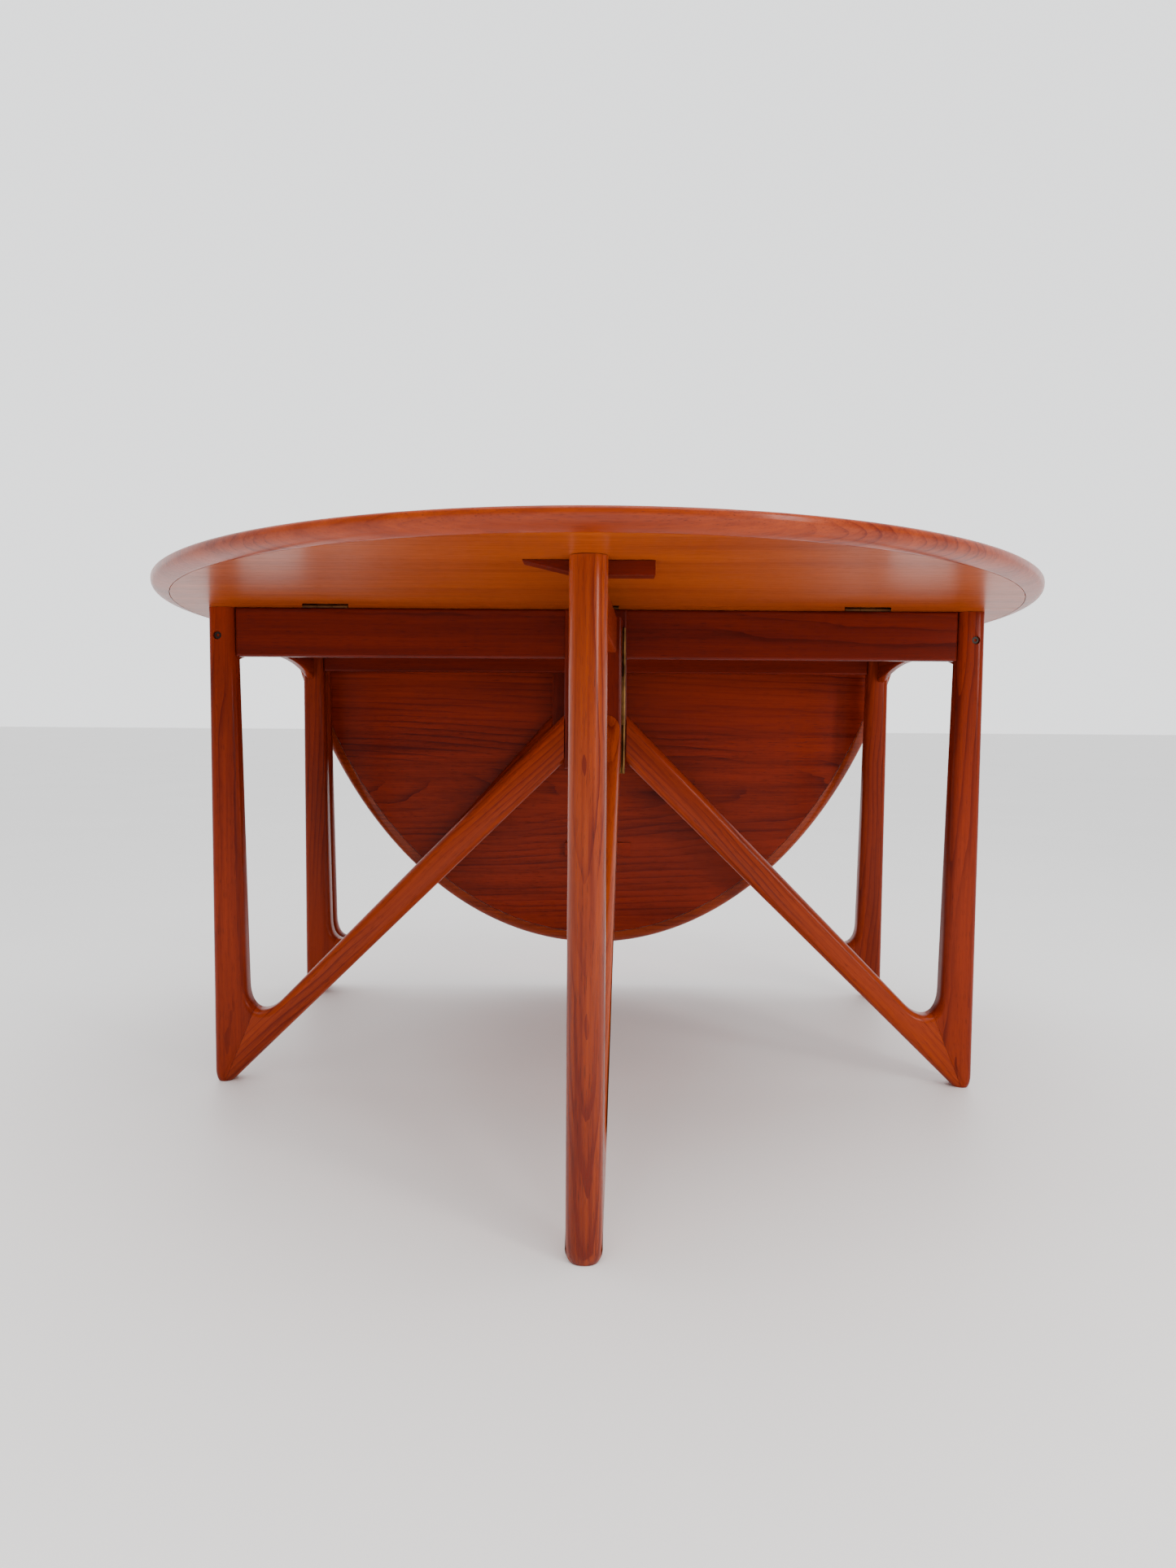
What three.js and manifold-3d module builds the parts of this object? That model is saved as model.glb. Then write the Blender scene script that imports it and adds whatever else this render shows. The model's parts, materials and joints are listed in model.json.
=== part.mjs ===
// Oval drop leaf table in teak: a fixed centre board on a four-legged frame, two hinged half-oval
// leaves, and two gates that swing out under them. It stands with the front leaf up on its open
// gate and the back leaf hanging over its folded gate.
// Millimetres, +Z up, X along the frame, Y across it, origin on the floor under the middle.

import * as THREE from 'three';
import { mergeVertices } from 'three/addons/utils/BufferGeometryUtils.js';
import Module from 'manifold-3d';

const wasm = await Module();
wasm.setup();

// Overall sizes
const TOP_HEIGHT = 720;
const TOP_HALF_WIDTH = 650;
const TOP_HALF_LENGTH = 924;
const TOP_THICKNESS = 19;
const SEAM_Y = 313;
const FRAME_HALF_LENGTH = 563;

// Clearances
const GLUE_GAP = 0.3;
const SEAM_GAP = 1;
const GATE_TOP_GAP = 0.5;
const LEAF_TO_GATE_GAP = 4.2;

// Top boards
const EDGE_BAND_WIDTH = 22;
const EDGE_TOP_ROUND = 3;
const EDGE_UNDERCUT = 21;
const EDGE_NOSE_RISE = 13.5;
const EDGE_UNDER_SWELL = 3.5;
const TOP_SEGMENTS = 96;

// Legs and diagonals, in the plane of a frame or a gate
const FRAME_THICKNESS = 35;
const LEG_TOP_WIDTH = 37;
const LEG_LOW_WIDTH = 48;
const LEG_LOW_HEIGHT = 160;
const CROTCH_RADIUS = 30;
const FOOT_RADIUS = 18;
const FOOT_FLAT = 0.6;
const BRACE_LOW_START = 25;
const BRACE_LOW_DROP = 221;
const BRACE_HIGH_INSET = 110;
const BRACE_HIGH_HEIGHT = 133;
const BRACE_HIGH_DROP = 153;
const FRAME_ROUND = 6;

// Posts and rails
const POST_HALF_WIDTH = 45;
const POST_DROP = 231;
const RAIL_HEIGHT = 71;
const RAIL_THICKNESS = 22;
const RAIL_INSET = 6;
const RAIL_ROUND = 3;
const END_RAIL_THICKNESS = 15;
const END_RAIL_INSET = 7;
const END_RAIL_CROWN_DEPTH = 54;
const END_RAIL_ARCH_RISE = 31;
const BLOCK_LEG = 55;
const BLOCK_HEIGHT = 45;

// Gates
const GATE_OPEN_DEG = 93.1;
const GATE_AXIS_INSET = 4;
const GATE_REACH = 522;
const GATE_THICKNESS = 38;
const GATE_ROUND = 10;
const GATE_STILE_WIDTH = 40;
const GATE_STILE_DROP = 215;
const GATE_RAIL_HEIGHT = 50;
const GATE_RAIL_THICKNESS = 25;
const GATE_RAIL_CLEAR = 6;

// Runner block under each leaf, with a ramp at one end
const RUNNER_HEIGHT = 14.7;
const RUNNER_DEPTH = 30;
const RUNNER_BACK_FROM_LEG = 8;
const RUNNER_RAMP_END = 74;
const RUNNER_RAMP_START = 16;
const RUNNER_SQUARE_END = 58;

// Hinges
const KNUCKLE_RADIUS = 2.5;
const KNUCKLE_STANDOFF = 0.3;
const KNUCKLE_GAP = 0.4;
const PIN_RADIUS = 1.2;
const PIN_CLEARANCE = 0.25;
const PLATE_THICKNESS = 1;
const LEAF_HINGE_LENGTH = 64;
const LEAF_HINGE_HEIGHT = 14;
const LEAF_HINGE_OUTER_X = 380;
const GATE_HINGE_LENGTH = 210;
const GATE_HINGE_TOP_GAP = 12;
const GATE_PLATE_WIDTH = 18;

// Bolts through the legs into the end rails
const BOLT_HEAD_RADIUS = 5.2;
const BOLT_HEAD_HEIGHT = 3;
const BOLT_SHANK_RADIUS = 2.5;
const BOLT_LENGTH = 70;
const BOLT_DROP = 41;
const BOLT_SINK = 3;
const BOLT_CLEARANCE = 0.5;

const UNDERSIDE = TOP_HEIGHT - TOP_THICKNESS;
const POST_BOTTOM = UNDERSIDE - POST_DROP;
const GATE_RAIL_TOP = UNDERSIDE - RUNNER_HEIGHT - GATE_TOP_GAP;
const AXIS_STANDOFF = KNUCKLE_RADIUS + KNUCKLE_STANDOFF;
const LEAF_AXIS_Z = UNDERSIDE - AXIS_STANDOFF;
const FRAME_HALF_DEPTH = SEAM_Y - AXIS_STANDOFF - GATE_THICKNESS - LEAF_TO_GATE_GAP;
const GATE_AXIS_Y = FRAME_HALF_DEPTH + AXIS_STANDOFF;
const GATE_AXIS_X = POST_HALF_WIDTH - GATE_AXIS_INSET;
const END_RAIL_X = FRAME_HALF_LENGTH - END_RAIL_INSET - END_RAIL_THICKNESS;
const BOLT_X = END_RAIL_X + END_RAIL_THICKNESS / 2;
const BOLT_Z = UNDERSIDE - BOLT_DROP;

const teak = (color) => new THREE.MeshStandardMaterial({ color, roughness: 0.45, metalness: 0 });
const TEAK_BOARD = teak(0xa85a24);
const TEAK_BAND = teak(0x9a4c1e);
const TEAK_FRAME = teak(0x8a3c1a);
const BRASS = new THREE.MeshStandardMaterial({ color: 0x9c7840, roughness: 0.35, metalness: 1 });
const STEEL = new THREE.MeshStandardMaterial({ color: 0x2b2a2a, roughness: 0.5, metalness: 1 });

// ---- Solids -------------------------------------------------------------------------------

function toSolid(geometry) {
  geometry.deleteAttribute('normal');
  geometry.deleteAttribute('uv');
  const merged = mergeVertices(geometry, 1e-4);
  return new wasm.Manifold(new wasm.Mesh({
    numProp: 3,
    vertProperties: new Float32Array(merged.attributes.position.array),
    triVerts: new Uint32Array(merged.index.array),
  }));
}

function toGeometry(solid) {
  const mesh = solid.getMesh();
  const geometry = new THREE.BufferGeometry();
  geometry.setAttribute('position', new THREE.BufferAttribute(mesh.vertProperties, 3));
  geometry.setIndex(new THREE.BufferAttribute(mesh.triVerts, 1));
  return geometry;
}

function box(low, high) {
  const size = high.map((value, i) => value - low[i]);
  const geometry = new THREE.BoxGeometry(...size);
  geometry.translate(...low.map((value, i) => value + size[i] / 2));
  return toSolid(geometry);
}

// A round bar along Z from z0 to z1.
function bar(radius, z0, z1, segments = 20) {
  const geometry = new THREE.CylinderGeometry(radius, radius, z1 - z0, segments);
  geometry.rotateX(Math.PI / 2);
  geometry.translate(0, 0, (z0 + z1) / 2);
  return toSolid(geometry);
}

// An outline in X and Z, given depth along Y from y0 to y1, with its long edges rounded.
function plank(outline, y0, y1, round) {
  const geometry = new THREE.ExtrudeGeometry(outline, {
    depth: y1 - y0 - 2 * round,
    bevelEnabled: true,
    bevelThickness: round,
    bevelSize: round,
    bevelOffset: -round,
    bevelSegments: 2,
    curveSegments: 8,
  });
  geometry.rotateX(Math.PI / 2);
  geometry.translate(0, y1 - round, 0);
  return toSolid(geometry);
}

function rectangle(x0, z0, x1, z1) {
  const outline = new THREE.Shape();
  outline.moveTo(x0, z0);
  outline.lineTo(x1, z0);
  outline.lineTo(x1, z1);
  outline.lineTo(x0, z1);
  return outline;
}

function addPiece(parent, name, solid, material) {
  const mesh = new THREE.Mesh(toGeometry(solid), material);
  mesh.name = name;
  parent.add(mesh);
}

// ---- Top ----------------------------------------------------------------------------------

// A profile of [inset, height] points turned round the circle of the half width, then stretched
// along Y into the oval, each ring by as much as keeps its inset the same all round.
function turnedOval(profile) {
  const points = profile.map(([inset, z]) => new THREE.Vector2(TOP_HALF_WIDTH - inset, z)).reverse();
  const geometry = new THREE.LatheGeometry(points, TOP_SEGMENTS);
  geometry.rotateX(Math.PI / 2);
  const at = geometry.attributes.position;
  for (let i = 0; i < at.count; i += 1) {
    const radius = Math.hypot(at.getX(i), at.getY(i));
    const stretch = radius > 1 ? 1 + (TOP_HALF_LENGTH - TOP_HALF_WIDTH) / radius : 1;
    at.setY(i, at.getY(i) * stretch);
  }
  return toSolid(geometry);
}

function edgeBandOval() {
  const underArc = new THREE.QuadraticBezierCurve(
    new THREE.Vector2(0, EDGE_NOSE_RISE),
    new THREE.Vector2(0, EDGE_UNDER_SWELL),
    new THREE.Vector2(EDGE_UNDERCUT, 0));
  const topArc = new THREE.EllipseCurve(
    EDGE_TOP_ROUND, TOP_THICKNESS - EDGE_TOP_ROUND, EDGE_TOP_ROUND, EDGE_TOP_ROUND,
    0.5 * Math.PI, Math.PI);
  const nose = [...topArc.getPoints(2), ...underArc.getPoints(5)].map((p) => [p.x, UNDERSIDE + p.y]);
  const inner = EDGE_BAND_WIDTH;
  const profile = [[inner, TOP_HEIGHT], ...nose, [inner, UNDERSIDE], [inner, TOP_HEIGHT]];
  return turnedOval(profile);
}

function boardOval() {
  const rim = EDGE_BAND_WIDTH + GLUE_GAP;
  return turnedOval([
    [TOP_HALF_WIDTH, TOP_HEIGHT], [rim, TOP_HEIGHT], [rim, UNDERSIDE], [TOP_HALF_WIDTH, UNDERSIDE],
  ]);
}

// The slab of the top between two Y planes and two X planes.
function slab(y0, y1, x0 = -2 * TOP_HALF_WIDTH, x1 = 2 * TOP_HALF_WIDTH) {
  return box([x0, y0, UNDERSIDE - TOP_THICKNESS], [x1, y1, TOP_HEIGHT + TOP_THICKNESS]);
}

const leafHingeXs = [-LEAF_HINGE_OUTER_X, 0, LEAF_HINGE_OUTER_X];

// The shallow pockets for the hinge plates in the two edges that meet at a seam.
function hingePockets(seamY) {
  const reach = SEAM_GAP / 2 + PLATE_THICKNESS + GLUE_GAP;
  const half = LEAF_HINGE_LENGTH / 2 + GLUE_GAP;
  const pockets = leafHingeXs.map((x) => box(
    [x - half, seamY - reach, UNDERSIDE - GLUE_GAP],
    [x + half, seamY + reach, UNDERSIDE + LEAF_HINGE_HEIGHT + GLUE_GAP]));
  return wasm.Manifold.union(pockets);
}

function addCenterTop(parent) {
  const halfDepth = SEAM_Y - SEAM_GAP / 2;
  const board = boardOval()
    .intersect(slab(-halfDepth, halfDepth))
    .subtract(hingePockets(-SEAM_Y))
    .subtract(hingePockets(SEAM_Y));
  addPiece(parent, 'center_board', board, TEAK_BOARD);
  const band = edgeBandOval();
  const left = band.intersect(slab(-halfDepth, halfDepth, -2 * TOP_HALF_WIDTH, 0));
  const right = band.intersect(slab(-halfDepth, halfDepth, 0, 2 * TOP_HALF_WIDTH));
  addPiece(parent, 'center_edge_left', left, TEAK_BAND);
  addPiece(parent, 'center_edge_right', right, TEAK_BAND);
}

// One leaf as it lies when it is up, on the -Y side, with its hinge halves and its runner block.
function addLeaf(parent, side) {
  const edge = -(SEAM_Y + SEAM_GAP / 2);
  const region = slab(-2 * TOP_HALF_LENGTH, edge);
  const board = boardOval().intersect(region).subtract(hingePockets(-SEAM_Y));
  addPiece(parent, `${side}_leaf_board`, board, TEAK_BOARD);
  addPiece(parent, `${side}_leaf_edge`, edgeBandOval().intersect(region), TEAK_BAND);
  addPiece(parent, `${side}_leaf_runner`, runnerBlock(), TEAK_FRAME);
  leafHingeXs.forEach((x, i) => {
    const half = movingHingeHalf(LEAF_HINGE_LENGTH, leafPlate());
    addPiece(parent, `${side}_leaf_hinge_${i + 1}_moving`, placeLeafHinge(half, x), BRASS);
  });
}

function runnerBlock() {
  const bottom = UNDERSIDE - RUNNER_HEIGHT;
  const top = UNDERSIDE - GLUE_GAP;
  const outline = new THREE.Shape();
  outline.moveTo(-RUNNER_RAMP_END, top - 1);
  outline.lineTo(-RUNNER_RAMP_START, bottom);
  outline.lineTo(RUNNER_SQUARE_END, bottom);
  outline.lineTo(RUNNER_SQUARE_END, top);
  outline.lineTo(-RUNNER_RAMP_END, top);
  const front = -(GATE_AXIS_Y + GATE_REACH - LEG_TOP_WIDTH - RUNNER_BACK_FROM_LEG);
  return plank(outline, front, front + RUNNER_DEPTH, 0.2);
}

// ---- Hinges -------------------------------------------------------------------------------

// A hinge half has its pin along Z. Its plate lies at +Y on the far side of the pin, from the
// start to the end distance along X, with a tab to each knuckle.
function hingePlate(length, plate, knuckles) {
  const [near, far] = plate.offset;
  const pieces = [box([plate.start, near, -length / 2], [plate.end, far, length / 2])];
  for (const [z0, z1] of knuckles) {
    pieces.push(bar(KNUCKLE_RADIUS, z0, z1));
    pieces.push(box([0, near, z0], [plate.start + 1, far, z1]));
  }
  return wasm.Manifold.union(pieces);
}

function knuckleLimits(length) {
  const middle = length / 6;
  return [[-length / 2, -middle - KNUCKLE_GAP], [-middle, middle], [middle + KNUCKLE_GAP, length / 2]];
}

function movingHingeHalf(length, plate) {
  const middle = knuckleLimits(length)[1];
  const bore = bar(PIN_RADIUS + PIN_CLEARANCE, -length, length);
  return hingePlate(length, plate, [middle]).subtract(bore);
}

// The fixed half is the mirror of the moving one, and it holds the pin.
function fixedHingeHalf(length, plate) {
  const [low, , high] = knuckleLimits(length);
  const pin = bar(PIN_RADIUS, -length / 2, length / 2);
  return hingePlate(length, plate, [low, high]).mirror([0, 1, 0]).add(pin);
}

function leafPlate() {
  const near = SEAM_GAP / 2;
  return {
    offset: [near, near + PLATE_THICKNESS],
    start: AXIS_STANDOFF + GLUE_GAP,
    end: AXIS_STANDOFF + LEAF_HINGE_HEIGHT,
  };
}

function gatePlate() {
  const far = AXIS_STANDOFF - GLUE_GAP;
  return {
    offset: [far - PLATE_THICKNESS, far],
    start: AXIS_STANDOFF,
    end: GATE_PLATE_WIDTH,
  };
}

// On the -Y seam the plates stand up from the pin, and the moving half is on the -Y side.
function placeLeafHinge(half, x) {
  return half.rotate([0, -90, 0]).rotate([0, 0, 180]).translate([x, -SEAM_Y, LEAF_AXIS_Z]);
}

// ---- Frame --------------------------------------------------------------------------------

// The slopes that bring the diagonal's two edges to their heights at the end face.
function braceSlopes(width) {
  return {
    low: (UNDERSIDE - BRACE_LOW_DROP) / (width - BRACE_LOW_START),
    high: (UNDERSIDE - BRACE_HIGH_DROP - BRACE_HIGH_HEIGHT) / (width - BRACE_HIGH_INSET),
  };
}

// A leg and its diagonal as one outline: the outer edge of the leg is at X = 0, X runs inwards to
// the end face at the width, the foot is a rounded corner and the crotch a wide arc.
function braceOutline(width, top, sign) {
  const point = (x, z) => new THREE.Vector2(sign * x, z);
  const innerEdge = (z) => {
    const slope = (LEG_LOW_WIDTH - LEG_TOP_WIDTH) / (UNDERSIDE - LEG_LOW_HEIGHT);
    return LEG_TOP_WIDTH + (UNDERSIDE - z) * slope;
  };
  const slopes = braceSlopes(width);
  const lowAngle = Math.atan(slopes.low);
  const highAngle = Math.atan(slopes.high);
  const highAt = (x) => BRACE_HIGH_HEIGHT + (x - BRACE_HIGH_INSET) * slopes.high;
  const lowAt = (x) => (x - BRACE_LOW_START) * slopes.low;

  // Foot: a circle that touches the outer edge and the lower edge of the diagonal.
  const footZ = FOOT_RADIUS / Math.cos(lowAngle) + lowAt(FOOT_RADIUS);
  const footLift = FOOT_RADIUS - FOOT_FLAT - footZ;
  const foot = [];
  for (let i = 0; i <= 8; i += 1) {
    const angle = Math.PI + (i / 8) * (Math.PI / 2 + lowAngle);
    foot.push(point(
      FOOT_RADIUS * (1 + Math.cos(angle)), footZ + footLift + FOOT_RADIUS * Math.sin(angle)));
  }

  // Crotch: a circle that touches the inner edge of the leg and the upper edge of the diagonal.
  const crotchX = innerEdge(LEG_LOW_HEIGHT) + CROTCH_RADIUS;
  const crotchZ = highAt(crotchX) + CROTCH_RADIUS / Math.cos(highAngle);
  const crotch = [];
  for (let i = 0; i <= 8; i += 1) {
    const angle = 1.5 * Math.PI + highAngle - (i / 8) * (Math.PI / 2 + highAngle);
    crotch.push(point(
      crotchX + CROTCH_RADIUS * Math.cos(angle), crotchZ + CROTCH_RADIUS * Math.sin(angle)));
  }

  return new THREE.Shape([
    point(0, top), ...foot,
    point(width, lowAt(width) + footLift), point(width, highAt(width)),
    ...crotch, point(innerEdge(top), top),
  ]);
}

// The plane of the joint between leg and diagonal runs from the foot up through the crotch.
function mitreSides(width, sign) {
  const lean = (Math.atan(braceSlopes(width).high) - Math.PI / 2) / 2;
  const far = 4 * TOP_HEIGHT;
  const half = (x0, x1) => box([x0, -far, -far], [x1, far, far])
    .rotate([0, -sign * THREE.MathUtils.radToDeg(lean), 0])
    .translate([sign * (LEG_LOW_WIDTH + CROTCH_RADIUS * 0.3), 0, BRACE_HIGH_HEIGHT * 0.75]);
  const low = half(-far, -GLUE_GAP / 2);
  const high = half(GLUE_GAP / 2, far);
  return sign > 0 ? { leg: low, brace: high } : { leg: high, brace: low };
}

// Leg and diagonal as two solids, from the floor to the top height, y0 to y1 thick.
function legAndBrace({ width, top, y0, y1, round, sign }) {
  const floor = box([-2 * width, y0 - 1, 0], [2 * width, y1 + 1, top + 1]);
  const whole = plank(braceOutline(width, top + round, sign), y0, y1, round)
    .intersect(box([-2 * width, y0 - 1, -1], [2 * width, y1 + 1, top]))
    .intersect(floor);
  const sides = mitreSides(width, sign);
  return { leg: whole.intersect(sides.leg), brace: whole.intersect(sides.brace) };
}

// A bolt along +Y with its head at the origin side.
function bolt() {
  const head = bar(BOLT_HEAD_RADIUS, 0, BOLT_HEAD_HEIGHT);
  return head.add(bar(BOLT_SHANK_RADIUS, 0, BOLT_LENGTH)).rotate([-90, 0, 0]);
}

function boltHole() {
  const sink = bar(BOLT_HEAD_RADIUS + BOLT_CLEARANCE, -BOLT_LENGTH, BOLT_HEAD_HEIGHT + BOLT_CLEARANCE);
  const shank = bar(BOLT_SHANK_RADIUS + BOLT_CLEARANCE, 0, BOLT_LENGTH + BOLT_CLEARANCE);
  return sink.add(shank).rotate([-90, 0, 0]);
}

const frontBoltAt = (sign) => [sign * BOLT_X, -FRAME_HALF_DEPTH + BOLT_SINK, BOLT_Z];

function railSolid() {
  const halfLength = FRAME_HALF_LENGTH - LEG_TOP_WIDTH;
  const y0 = -FRAME_HALF_DEPTH + RAIL_INSET;
  const legSlope = (LEG_LOW_WIDTH - LEG_TOP_WIDTH) / (UNDERSIDE - LEG_LOW_HEIGHT);
  const end = halfLength - RAIL_HEIGHT * legSlope - GLUE_GAP;
  const outline = rectangle(-end, UNDERSIDE - RAIL_HEIGHT, end, UNDERSIDE - GLUE_GAP);
  return plank(outline, y0, y0 + RAIL_THICKNESS, RAIL_ROUND);
}

// The front half of the frame: legs, diagonals, rail and post, with the bolts and corner blocks.
function addFrameSide(parent, side, hands) {
  const y0 = -FRAME_HALF_DEPTH;
  const y1 = y0 + FRAME_THICKNESS;
  const hole = boltHole();
  for (const [sign, hand] of [[1, hands[1]], [-1, hands[0]]]) {
    const pair = legAndBrace({
      width: FRAME_HALF_LENGTH - POST_HALF_WIDTH - GLUE_GAP,
      top: UNDERSIDE - GLUE_GAP, y0, y1, round: FRAME_ROUND, sign: -sign,
    });
    const outward = [sign * FRAME_HALF_LENGTH, 0, 0];
    const leg = pair.leg.translate(outward).subtract(hole.translate(frontBoltAt(sign)));
    addPiece(parent, `${side}_${hand}_leg`, leg, TEAK_FRAME);
    addPiece(parent, `${side}_${hand}_diagonal`, pair.brace.translate(outward), TEAK_FRAME);
    addPiece(parent, `${side}_${hand}_bolt`, bolt().translate(frontBoltAt(sign)), STEEL);
    addPiece(parent, `${side}_${hand}_corner_block`, cornerBlock(sign), TEAK_FRAME);
  }
  const rail = railSolid();
  addPiece(parent, `${side}_rail`, rail, TEAK_FRAME);
  const slot = box(
    [-2 * POST_HALF_WIDTH, y0 + RAIL_INSET - GLUE_GAP, UNDERSIDE - RAIL_HEIGHT - GLUE_GAP],
    [2 * POST_HALF_WIDTH, y0 + RAIL_INSET + RAIL_THICKNESS + GLUE_GAP, TOP_HEIGHT]);
  const postOutline = rectangle(-POST_HALF_WIDTH, POST_BOTTOM, POST_HALF_WIDTH, UNDERSIDE - GLUE_GAP);
  const post = plank(postOutline, y0, y1, RAIL_ROUND).subtract(slot);
  addPiece(parent, `${side}_center_post`, post, TEAK_FRAME);
}

// A block in the corner between the long rail and the end rail, cut round the leg.
function cornerBlock(sign) {
  const railBack = -FRAME_HALF_DEPTH + RAIL_INSET + RAIL_THICKNESS + GLUE_GAP;
  const legBack = -FRAME_HALF_DEPTH + FRAME_THICKNESS + GLUE_GAP;
  const endRail = END_RAIL_X - GLUE_GAP;
  const legSide = FRAME_HALF_LENGTH - LEG_LOW_WIDTH - GLUE_GAP;
  const outline = new THREE.Shape([
    [endRail, legBack], [endRail, legBack + BLOCK_LEG], [legSide - BLOCK_LEG, railBack],
    [legSide, railBack], [legSide, legBack],
  ].map(([x, y]) => new THREE.Vector2(sign * x, y)));
  const geometry = new THREE.ExtrudeGeometry(outline, { depth: BLOCK_HEIGHT, bevelEnabled: false });
  geometry.translate(0, 0, UNDERSIDE - GLUE_GAP - BLOCK_HEIGHT);
  return toSolid(geometry);
}

// An end rail between the front and back legs, arched underneath.
function endRail(sign) {
  const halfSpan = FRAME_HALF_DEPTH - FRAME_THICKNESS - GLUE_GAP;
  const crown = UNDERSIDE - END_RAIL_CROWN_DEPTH;
  const outline = new THREE.Shape();
  outline.moveTo(-halfSpan, UNDERSIDE - GLUE_GAP);
  outline.lineTo(-halfSpan, crown - END_RAIL_ARCH_RISE);
  outline.quadraticCurveTo(0, crown + END_RAIL_ARCH_RISE, halfSpan, crown - END_RAIL_ARCH_RISE);
  outline.lineTo(halfSpan, UNDERSIDE - GLUE_GAP);
  const rail = plank(outline, 0, END_RAIL_THICKNESS, RAIL_ROUND).rotate([0, 0, 90]);
  const x0 = sign > 0 ? END_RAIL_X + END_RAIL_THICKNESS : -END_RAIL_X;
  const front = boltHole().translate(frontBoltAt(sign));
  const back = boltHole().translate(frontBoltAt(-sign)).rotate([0, 0, 180]);
  return rail.translate([x0, 0, 0]).subtract(front).subtract(back);
}

// ---- Gates --------------------------------------------------------------------------------

// A gate in its own place: the hinge pin is at the origin, the leg is out along -X, and Y is its
// thickness, away from the face that closes on the frame.
function addGate(parent, side) {
  const add = (part, solid, material) => {
    addPiece(parent, `${side}_gate_${part}`, solid.mirror([1, 0, 0]), material);
  };
  const y0 = AXIS_STANDOFF;
  const y1 = y0 + GATE_THICKNESS;
  const start = AXIS_STANDOFF;
  const stileEnd = start + GATE_STILE_WIDTH;
  const pair = legAndBrace({
    width: GATE_REACH - stileEnd - GLUE_GAP,
    top: UNDERSIDE - GATE_TOP_GAP, y0, y1, round: GATE_ROUND, sign: -1,
  });
  add('leg', pair.leg.translate([GATE_REACH, 0, 0]), TEAK_FRAME);
  add('diagonal', pair.brace.translate([GATE_REACH, 0, 0]), TEAK_FRAME);

  const stileBottom = UNDERSIDE - GATE_STILE_DROP - RUNNER_HEIGHT;
  const stileOutline = rectangle(start, stileBottom, stileEnd, GATE_RAIL_TOP);
  add('stile', plank(stileOutline, y0, y1, RAIL_ROUND), TEAK_FRAME);

  const railEnd = GATE_REACH - LEG_LOW_WIDTH;
  const railY = (y0 + y1 - GATE_RAIL_THICKNESS) / 2;
  const railOutline = rectangle(
    stileEnd + GLUE_GAP, GATE_RAIL_TOP - GATE_RAIL_HEIGHT, GATE_REACH, GATE_RAIL_TOP);
  const legClear = box(
    [railEnd + GATE_RAIL_CLEAR, -TOP_HEIGHT, 0],
    [2 * GATE_REACH, TOP_HEIGHT, TOP_HEIGHT]);
  const rail = plank(railOutline, railY, railY + GATE_RAIL_THICKNESS, RAIL_ROUND).subtract(legClear);
  add('rail', rail, TEAK_FRAME);

  const half = movingHingeHalf(GATE_HINGE_LENGTH, gatePlate()).mirror([1, -1, 0]);
  add('hinge_moving', half.translate([0, 0, gateHingeZ()]), BRASS);
}

function gateHingeZ() {
  return GATE_RAIL_TOP - GATE_HINGE_TOP_GAP - GATE_HINGE_LENGTH / 2;
}

// ---- Assembly -----------------------------------------------------------------------------

function addHalf(parent, side, hands) {
  addFrameSide(parent, side, hands);
  leafHingeXs.forEach((x, i) => {
    const half = fixedHingeHalf(LEAF_HINGE_LENGTH, leafPlate());
    addPiece(parent, `${side}_leaf_hinge_${i + 1}_fixed`, placeLeafHinge(half, x), BRASS);
  });
  const plate = fixedHingeHalf(GATE_HINGE_LENGTH, gatePlate()).mirror([0, 1, 0]).mirror([1, 0, 0]);
  addPiece(parent, `${side}_gate_hinge_fixed`,
    plate.translate([GATE_AXIS_X, -GATE_AXIS_Y, gateHingeZ()]), BRASS);
}

function buildHalf(side, hands, gateAngle, leafAngle) {
  const half = new THREE.Group();
  addHalf(half, side, hands);

  const gate = new THREE.Group();
  gate.position.set(GATE_AXIS_X, -GATE_AXIS_Y, 0);
  gate.rotation.z = Math.PI - THREE.MathUtils.degToRad(gateAngle);
  addGate(gate, side);
  half.add(gate);

  const hingeLine = new THREE.Group();
  hingeLine.position.set(0, -SEAM_Y, LEAF_AXIS_Z);
  hingeLine.rotation.x = THREE.MathUtils.degToRad(leafAngle);
  const leaf = new THREE.Group();
  leaf.position.set(0, SEAM_Y, -LEAF_AXIS_Z);
  addLeaf(leaf, side);
  hingeLine.add(leaf);
  half.add(hingeLine);
  return half;
}

const table = new THREE.Group();
addCenterTop(table);
addPiece(table, 'left_end_rail', endRail(-1), TEAK_FRAME);
addPiece(table, 'right_end_rail', endRail(1), TEAK_FRAME);
table.add(buildHalf('front', ['left', 'right'], GATE_OPEN_DEG, 0));
const backHalf = buildHalf('back', ['right', 'left'], 0, 90);
backHalf.rotation.z = Math.PI;
table.add(backHalf);

// The hanging leaf makes the back shorter than the front, so the table moves to centre its box.
const extent = new THREE.Box3().setFromObject(table);
table.position.y = -(extent.min.y + extent.max.y) / 2;

export default table;
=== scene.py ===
# %% [markdown]
# # An oval drop leaf table in teak
# The CAD frame gives every board, leg and hinge its place and size. This lesson keeps the plain
# flat pieces, makes the rounded ones again with softer edges, and gives each piece its own teak.

# %% Load the frame
import json
import math
import bmesh
import bpy
from mathutils import Matrix, Vector


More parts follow.
